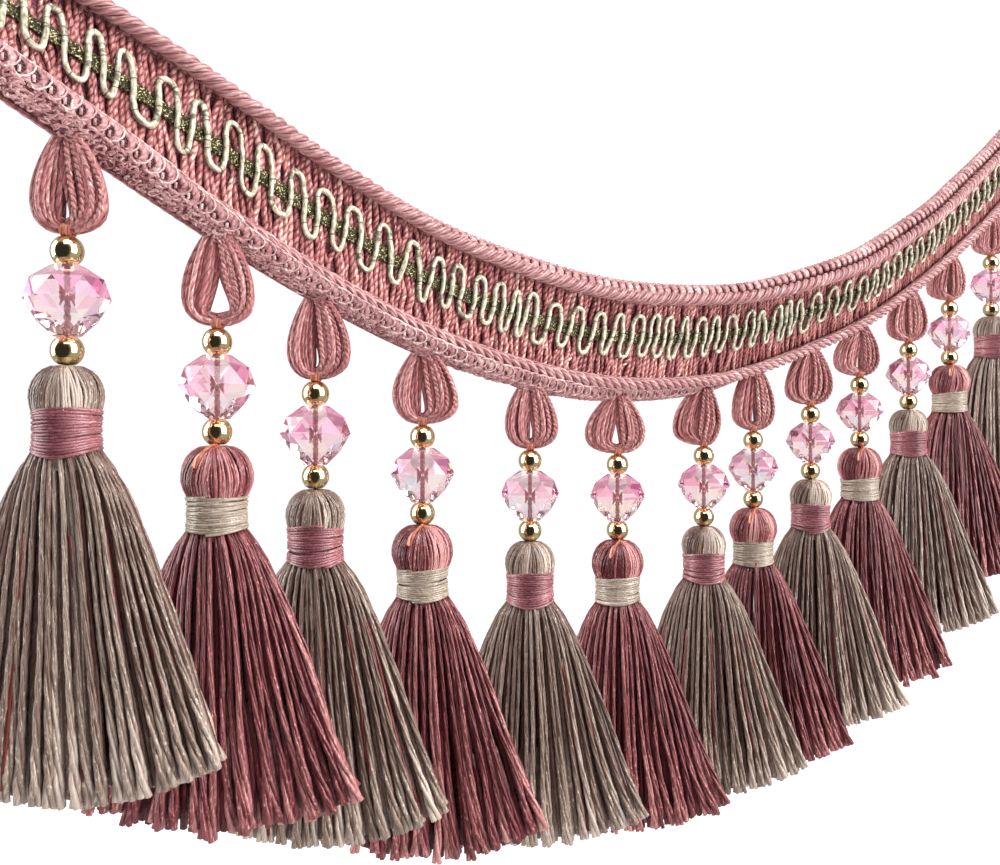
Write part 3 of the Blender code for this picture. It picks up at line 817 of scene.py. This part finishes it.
def loop_yarns(number, shape):
    """The teardrop of yarns below the tape: smooth ones, and chained ones on its right."""
    rng = default_rng(100 + number)
    steps = 17
    share = shares(steps)
    bundle = Bundle()
    for count, front, inner, outer in ((8, -1.0, 0.06, 1.0), (6, 1.0, 0.13, 0.93)):
        lanes = np.linspace(inner, outer, count)[:, None]
        wander = drift(rng, 0.022, 5, steps, count)
        depth = front * (0.45 + 0.4 * np.sin(math.pi * lanes)) + rng.normal(0.0, 0.12, (count, 1))
        left = loop_lines(-1.0, np.clip(lanes + wander, 0.0, 1.03), depth, share, *shape)
        right = loop_lines(1.0, np.clip(lanes - wander, 0.0, 1.03), depth, share, *shape)
        lines = np.concatenate((left, right[:, ::-1]), axis=1)
        bundle.yarns(lines, 0.48 * MM, 5, rng.uniform(0.1, 0.9, count), 0.85)
    lanes = np.array((0.2, 0.46, 0.72, 0.98))[:, None]
    chained = loop_lines(1.0, lanes, -0.98, np.linspace(0.03, 0.96, 40), *shape)
    plied = twisted(chained, 2, 0.22 * MM, 1.9 * MM, start=rng.uniform(0.0, TURN, (4, 1)))
    return bundle.yarns(plied, 0.29 * MM, 5, np.tile(rng.uniform(0.5, 1.0, 4), 2))


def loop_tie():
    """The small tie that gathers the loop's foot onto the beads' thread."""
    turn = np.linspace(0.0, TURN, 15)
    x = (np.arange(4)[:, None] - 1.5) * 0.36 + 0.15
    rings = spots(x + 0.12 * np.sin(turn), 1.3 * np.cos(turn), 0.85 + 0.9 * np.sin(turn))
    return Bundle().yarns(rings, 0.24 * MM, 5, (0.2, 0.6, 0.9, 0.4))


def gold_ball(middle):
    """A gold ball, cut flat round the hole through it."""
    turn = np.linspace(0.62, math.pi - 0.62, 15)
    ball = GOLD_RADIUS * np.stack((np.sin(turn), np.cos(turn)), axis=-1)
    rim = np.array(((0.72, 1.7), (0.85, 1.9), (1.1, 1.94)))
    profile = np.concatenate((rim, ball, rim[::-1] * (1.0, -1.0), rim[:1])) - (0.0, middle)
    return Bundle().turned(profile, 28)


def crystal_facets(number, carrier):
    """The cut bead: rings of flat triangles round a bored hole, turned with a corner to each side."""
    rng = default_rng(200 + number)
    facets = 8
    rings = (
        (0.05, 0.0, 0.0), (0.37, 0.0, 0.0), (0.88, 0.195, 0.5), (1.0, 0.47, 0.0), (0.75, 0.77, 0.5),
        (0.32, 1.0, 0.0), (0.05, 1.0, 0.0))
    sight = carrier + ORIGIN - CAMERA_PLACE
    turn = math.atan2(sight @ TASSEL_RIGHT, sight @ TASSEL_BACK)
    corners = []
    for wide, deep, shift in rings:
        angles = TURN * (np.arange(facets) + shift) / facets - turn
        corners.append(spots_round(wide * CRYSTAL_RADIUS, angles, -CRYSTAL_TOP - deep * CRYSTAL_HEIGHT))
    order = []
    for level in range(len(rings)):
        below = (level + 1) % len(rings)
        leads = rings[below][2] > rings[level][2]
        for i in range(facets):
            j = (i + 1) % facets
            a, b, c, d = (row * facets + spot for row in (level, below) for spot in (i, j))
            order += [(a, c, b), (b, c, d)] if leads else [(a, c, d), (a, d, b)]
    split = np.concatenate(corners)[np.array(order)]
    middle = split.mean(axis=1) / MM
    # Painted light: upper facets towards the bead's sides, as the camera sees it, take a deeper pink, and
    # lower facets take random pale painted tints, grey and yellow among them, for the colours cut glass
    # throws.
    painted_side_tint = 0.45 + 0.5 * eased(np.abs(middle[:, 0]) / CRYSTAL_RADIUS, 0.1, 0.6)
    painted_side_tint = painted_side_tint + rng.normal(0.0, 0.12, len(order))
    clear = rng.choice((0.0, 0.1, 0.2, 0.35, 0.5), len(order))
    upper = middle[:, 2] > -CRYSTAL_TOP - CRYSTAL_HEIGHT / 2
    return Bundle().facets(split, np.clip(np.where(upper, painted_side_tint, clear), 0.0, 1.0))


def bead_thread():
    """The tight thread through the beads, from the tie to the tassel's head."""
    line = spots(0.0, 0.0, np.linspace(0.9, -HEAD_TOP - 0.6, 40))[None]
    return Bundle().yarns(twisted(line, 2, 0.2 * MM, 1.6 * MM, TASSEL_BACK), 0.33 * MM, 5, (0.3, 0.7))


def head_profile(colour):
    """The outline of a head, from its crown to the neck, as (radius, depth) in millimetres."""
    radius, shoulder, _ = HEADS[colour]
    shape = ((0.06, 0.1), (0.22, 0.02), (0.45, 0.04), (0.66, 0.15), (0.84, 0.34), (0.95, 0.58), (1.0, 0.82))
    belly = (0.975 * radius, 0.5 * (0.82 * radius + shoulder))
    neck = ((NECK_RADIUS + 0.15, shoulder + 0.2), (NECK_RADIUS - 0.3, shoulder + 1.4))
    return np.concatenate((np.array(shape) * radius, (belly, *neck)))


def head_threads(number):
    """The tassel's head: fine threads that fall from the crown over a rounded core."""
    rng = default_rng(300 + number)
    rows = head_profile(colour_of(number))
    walk = lengths(rows)
    steps = 11
    share = shares(steps)
    radius, depth = (smooth(walk / walk[-1], values, share) for values in rows.T)
    threads = 100
    angles = TURN * (np.arange(threads) + rng.normal(0.0, 0.3, threads))[:, None] / threads
    gather = 0.12 * share + 0.5 * (1.0 - share) ** 2 * np.sin(angles * 2.0)
    angles = angles + drift(rng, 0.035, 4, steps, threads) + gather
    reach = radius + (rng.normal(0.0, 0.06, (threads, 1)) - 0.2) * eased(share, 0.0, 0.25)
    lines = spots_round(reach, -angles, -HEAD_TOP - depth + 0.1)
    thick = np.minimum(0.22, radius * TURN / threads * 0.8 + 0.04) * MM
    patches = smooth(np.linspace(0, threads, 13), rng.normal(0.0, 0.4, 13), np.arange(threads))
    tone = 0.5 + patches * 0.6
    # Painted highlights on the threads at the front and front right, and painted shade on those at the
    # front left.
    for light, spot, wide in ((0.8, 0.95, 0.35), (0.4, 1.75, 0.2), (-0.35, 2.4, 0.3)):
        tone = tone + light * np.exp(-(((angles[:, -1] % TURN - spot) / wide) ** 2))
    bundle = Bundle().yarns(lines, thick, 4, tone + rng.uniform(-0.22, 0.22, threads))
    # Painted shade: the core under the threads takes the darkest tone, so the gaps between them look
    # shaded.
    core = np.stack((np.maximum(rows[:, 0] - 0.28, 0.02), rows[:, 1] + 0.18), axis=-1)
    below = ((4.0, HEADS[colour_of(number)][1] + 2.0), (3.9, CORE_DEPTH), (0.02, CORE_DEPTH))
    return bundle.turned(np.concatenate((core, below)) * (1.0, -1.0) - (0.0, HEAD_TOP), 20, 0.0)


def crown_thread():
    """The orange threads that fall from the crown of a rose head."""
    share = shares(14)
    radius, height = head_profile("rose")[1:8].T
    depth = 0.1 + 3.3 * share**1.5
    turn = np.radians(247.0 + 45.0 * np.exp(-4.0 * share))
    line = spots_round(np.interp(depth, height, radius) + 0.12, turn, -HEAD_TOP - depth + 0.2)[None]
    return Bundle().yarns(twisted(line, 2, 0.24 * MM, 9.0 * MM, start=0.4), 0.24 * MM, 5, (0.5, 0.95))


def wrap_thread(number):
    """The thread wound round the neck, turn beside turn."""
    rng = default_rng(400 + number)
    taupe = colour_of(number) == "taupe"
    _, shoulder, wrap_end = HEADS[colour_of(number)]
    high = -HEAD_TOP - shoulder - 0.1
    low = -HEAD_TOP - wrap_end + 0.3
    turns = round((high - low) / 0.33)
    steps = turns * 26 + 1
    share = shares(steps)
    turn = share * turns * TURN + rng.uniform(0.0, TURN)
    lean = drift(rng, 0.16, turns + 1, steps) + (0.05 if taupe else 0.4 * (1.0 - share))
    top, bottom = (0.5, -1.1) if taupe else (0.1, -0.5)
    bow = np.maximum(0.0, np.sin(turn)) ** 2 * (top + (bottom - top) * share)
    height = high - share * (high - low) + lean * np.cos(turn) + bow
    waist = NECK_RADIUS + 0.18 * (2.0 * share - 1.0) ** 2 + rng.normal(0.0, 0.03, steps)
    # Painted light and shade: on the taupe tassels the wrap is paler towards the neck's left and right
    # sides and darker across its front.
    middle, sides = (-0.2, 0.7) if taupe else (0.4, 0.0)
    tone = middle + sides * eased(np.abs(np.cos(turn)), 0.1, 0.7) + drift(rng, 0.2, 4 * turns + 1, steps)
    return Bundle().yarns(spots_round(waist, -turn, height), 0.28 * MM, 4, tone)


def fan_lines(number, rng, side, depth, longer, steps, wave):
    """Yarns of a skirt, from the neck to the hem. side is -1 to 1 across it, and depth -1 in front."""
    side, depth, longer = (values[:, None] for values in np.broadcast_arrays(side, depth, longer))
    level = shares(steps)
    spread = 1.0 - (1.0 - level) ** 3
    bulge = 2.7 if colour_of(number) == "taupe" else 2.2
    reach = SKIRT_ROOT + (SKIRT_REACH - SKIRT_ROOT) * level
    reach = reach + bulge * (1.0 - np.exp(-level / 0.12)) * (1.0 - level)
    quarter = math.pi * side / 2
    round_y = SKIRT_ROOT * np.cos(quarter)
    flat_y = SKIRT_DEPTH * np.sqrt(1.0 - (0.8 * side) ** 2)
    phases = rng.uniform(0.0, TURN, (len(side), 4))
    beats = rng.uniform(0.6, 1.9, (len(side), 2))
    sag, billow = (np.sin(TURN * beats[:, [i]] * level + phases[:, [i]]) * wave * level for i in (0, 1))
    x = reach * (np.sin(quarter) * (1.0 - spread) + side * spread) + sag + 0.9 * level
    y = (round_y + (flat_y - round_y) * spread) * depth + billow * 0.8
    root = -HEAD_TOP - HEADS[colour_of(number)][2] + SKIRT_TOP
    long = SKIRT_LENGTH + SKIRT_TRIM.get(number, 0.0) + longer
    return spots(x, y, root - level * long * np.cos(FAN_ANGLE * side))


def skirt_yarns(number):
    """The skirt of loose yarns, fanned out flat: plied ones in front and behind, dark ones between them as
    painted shade, short ones that fill the hem, and thick dark ones inside, also painted shade."""
    rng = default_rng(500 + number)
    wave, ragged = (0.25, 0.15) if colour_of(number) == "taupe" else (0.5, 0.55)
    level = shares(16)
    flare = level**6
    bundle = Bundle()
    for count, depth, edge, plies, *tones in ((23, -1.0, 1.0, 3, 0.2, 0.8), (22, 1.0, 0.955, 2, 0.1, 0.7)):
        side = np.linspace(-edge, edge, count) + rng.normal(0.0, 0.012, count)
        side = side + 0.014 * np.sin(side * TURN * 3.6 + rng.uniform(0.0, TURN)) * (1.0 - side**4)
        deep = depth + rng.normal(0.0, 0.06, count)
        longer = 1.2 - 2 * ragged + rng.normal(0.0, ragged, count)
        lines = fan_lines(number, rng, side, deep, longer, 16, wave)
        start = rng.uniform(0.0, TURN, (count, 1))
        strands = twisted(lines, plies, (0.15 + 0.1 * level + 0.35 * flare) * MM, 16.0 * MM, start=start)
        tone = np.tile(rng.uniform(*tones, count), plies) + rng.normal(0.0, 0.1, count * plies)
        bundle.yarns(strands, (0.22 + 0.07 * level + 0.2 * flare) * MM, 4, tone, share=level)
    # Painted shade: the yarns between the layers take low tones, darker than those in front.
    side = np.linspace(-0.98, 0.98, 32) + rng.normal(0.0, 0.01, 32)
    lines = fan_lines(number, rng, side, -0.72, 0.0, 13, wave)
    bundle.yarns(lines, 0.36 * MM * np.linspace(1.0, 1.6, 13), 4, rng.uniform(-0.3, 0.25, 32))
    side = np.linspace(-0.98, 0.98, 64) + rng.normal(0.0, 0.006, 64)
    longer = 1.3 - 2 * ragged + rng.normal(0.0, 0.12, 64)
    lines = fan_lines(number, rng, side, rng.uniform(-0.8, 0.3, 64), longer, 9, 0.15)[:, 5:]
    thick = np.array((0.3, 0.42, 0.5, 0.52)) * MM
    bundle.yarns(lines, thick, 4, rng.uniform(0.1, 0.75, 64), share=level[-4:])
    # Painted shade: the thick yarns inside take a low tone.
    side = np.linspace(-0.93, 0.93, 26)
    lines = fan_lines(number, rng, side, rng.uniform(-0.25, 0.25, 26), -0.6, 9, 0.1)
    return bundle.yarns(lines, 0.95 * MM * np.linspace(0.4, 1.0, 9), 4, -0.2, share=0.0)


def red_threads(number):
    """The few dark red threads between the yarns of a taupe skirt."""
    rng = default_rng(600 + number)
    side = np.array((-0.82, -0.38, 0.12, 0.5, 0.8)) + rng.normal(0.0, 0.07, 5)
    lines = fan_lines(number, rng, side, -0.97, rng.uniform(-2.5, 0.5, 5), 13, 0.25)[:, 3:]
    return Bundle().yarns(lines, 0.3 * MM, 4, rng.uniform(0.15, 0.45, 5))


def make_pieces(finishes, rows, number="", carrier=None):
    """Pieces from their names, bundles, finishes, slots and CAD nodes; the slots are not used. # is a
    tassel's number.
    """
    made = []
    for name, bundle, finish, slot, node in rows:
        name, node = name.replace("#", number), node.replace("#", number)
        made.append(bundle.piece(name, finishes[finish], slot, node, carrier=carrier))
    return made


def build_columns(finishes):
    """The thirteen tassels with their loops and beads."""
    for number, row in enumerate(TASSELS, start=1):
        colour = colour_of(number)
        carrier = np.array(row[:3]) * MM - ORIGIN
        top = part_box(f"loop_{number:02d}")[1][2] - carrier[2] + 1.2 * MM
        if colour == "rose":
            accent = ("tassel_#_crown_thread", crown_thread(), "tie")
        else:
            accent = ("tassel_#_red_threads", red_threads(number), "red")
        make_pieces(finishes, (
            ("loop_#_yarns", loop_yarns(number, (top, *row[3:])), "loop", "loop_yarn", "loop_#"),
            ("loop_#_tie", loop_tie(), "tie", "loop_yarn", "loop_#"),
            (*accent, "rose_yarn", "tassel_#"),
            ("gold_bead_#_upper", gold_ball(GOLD_UPPER), "gold", "gold", "bead_string_#"),
            ("crystal_#", crystal_facets(number, carrier), "crystal", "crystal", "bead_string_#"),
            ("gold_bead_#_lower", gold_ball(GOLD_LOWER), "gold", "gold", "bead_string_#"),
            ("bead_thread_#", bead_thread(), "thread", "loop_yarn", "bead_string_#"),
            ("tassel_#_head", head_threads(number), colour, colour + "_yarn", "tassel_#"),
            ("neck_wrap_#_thread", wrap_thread(number), WRAPS[colour], WRAPS[colour], "neck_wrap_#"),
            ("tassel_#_skirt", skirt_yarns(number), colour, colour + "_yarn", "tassel_#"),
        ), f"{number:02d}", carrier)


def build_tape(finishes):
    """The tape with all that is sewn to it."""
    ground, *sewn = make_pieces(finishes, (
        ("tape_sheet", ground_cloth(), "ground", "tape_cloth", "tape"),
        ("face_yarns", face_yarns(), "face", "tape_cloth", "tape"),
        ("lower_rope_plies", rope_plies(0.0, -1.0, (0.25, 0.65)), "rope", "rope_yarn", "lower_rope"),
        ("top_rope_plies", rope_plies(FACE_WIDTH, 1.0, (0.35, 0.7)), "rope", "rope_yarn", "top_rope"),
        ("upper_edge_stitches", upper_stitches(), "stitch", "rope_yarn", "tape"),
        ("lower_edge_stitches", lower_stitches(), "stitch", "rope_yarn", "tape"),
        ("lower_edge_web", lower_web(), "ground", "tape_cloth", "tape"),
        ("centre_braid_strands", braid_strands(), "olive", "olive_braid", "centre_braid"),
        ("wave_cord_gimp", wave_gimp(), "cream", "cream_cord", "wave_cord"),
    ))


def stage_floor():
    """The plain pale floor, well below the fringe."""
    finish = new_finish("studio_floor")
    middle = finish.node("ShaderNodeTexCoord").other("Object")
    mottle = finish.node("ShaderNodeTexNoise", {"Vector": middle, "Scale": 3.0})
    seen = finish.node("ShaderNodeLightPath").other("Is Camera Ray")
    values = {
        "Base Color": finish.ramp(mottle, (0.0, (0.90, 0.90, 0.90)), (1.0, (0.94, 0.94, 0.94))),
        "Roughness": 0.9,
        "Emission Color": finish.mix(seen, (0.15, 0.15, 0.15), (1.0, 1.0, 1.0)),
        "Emission Strength": 0.85,
    }
    corners = spots_round(2400.0, TURN * np.arange(64) / 64, -550.0) + (0.15, -0.02, 0.0)
    mesh = bpy.data.meshes.new("studio_floor")
    mesh.from_pydata(corners.tolist(), [], [list(range(64))])
    mesh.materials.append(finish.surface(values))
    floor = added("studio_floor", mesh)
    floor.visible_glossy = False


def softbox(name, azimuth, elevation, distance, wide, tall, power):
    """A large soft lamp that faces the fringe. azimuth turns right from the camera's side."""
    target = np.array((0.14, 0.0, -0.10))
    turn = math.radians(azimuth)
    rise = math.radians(elevation)
    level = CAMERA_RIGHT * math.sin(turn) - CAMERA_AHEAD * math.cos(turn)
    look = -(level * math.cos(rise) + UP * math.sin(rise))
    lamp = bpy.data.lights.new(name, "AREA")
    lamp.shape = "RECTANGLE"
    lamp.size = wide
    lamp.size_y = tall
    lamp.energy = power
    made = added(name, lamp)
    made.location = target - distance * look
    square_on = math.pi / 2
    made.rotation_euler = (square_on + math.asin(look[2]), 0.0, math.atan2(look[1], look[0]) - square_on)
    made.visible_camera = False


def studio_light():
    """A light tent with a dark opening in front, a lamp at each side and one above."""
    world = bpy.data.worlds.new("light_tent")
    bpy.context.scene.world = world
    finish = Finish(world)
    ways = {
        0: finish.node("ShaderNodeTexCoord").other("Generated"),
        1: tuple(unit(-CAMERA_AHEAD - 0.25 * CAMERA_RIGHT)),
    }
    toward = finish.node("ShaderNodeVectorMath", ways, "Value", operation="DOT_PRODUCT")
    opening = toward.above(0.32, 0.68)
    path = finish.node("ShaderNodeLightPath")
    through = path.other("Is Transmission Ray")
    seen = path.other("Is Camera Ray")
    glow = 0.42 + through * 0.6 - opening * (0.39 - through * 0.1)
    strength = glow * (1.0 - seen) + seen * 1.05
    values = {"Color": (1.0, 1.0, 1.0, 1.0), "Strength": strength}
    light = finish.node("ShaderNodeBackground", values)
    finish.node("ShaderNodeOutputWorld", {"Surface": light})
    softbox("right_softbox", 66, 18, 1.0, 0.7, 1.1, 16.0)
    softbox("left_softbox", -82, 14, 1.0, 0.6, 1.1, 12.0)
    softbox("top_softbox", 20, 64, 1.1, 0.9, 0.7, 9.0)


def place_camera():
    """The camera, level, a little below the tape's left end."""
    data = bpy.data.cameras.new("camera")
    data.lens = 36.0
    data.sensor_width = 36.0
    data.clip_start = 0.01
    made = added("camera", data)
    made.location = CAMERA_PLACE - ORIGIN
    made.rotation_euler = (math.pi / 2, 0.0, CAMERA_TURN)
    bpy.context.scene.camera = made


FINISHES = make_finishes()
place_camera()
build_tape(FINISHES)
build_columns(FINISHES)
stage_floor()
studio_light()
bpy.context.scene.view_settings.view_transform = "Standard"
bpy.context.view_layer.update()
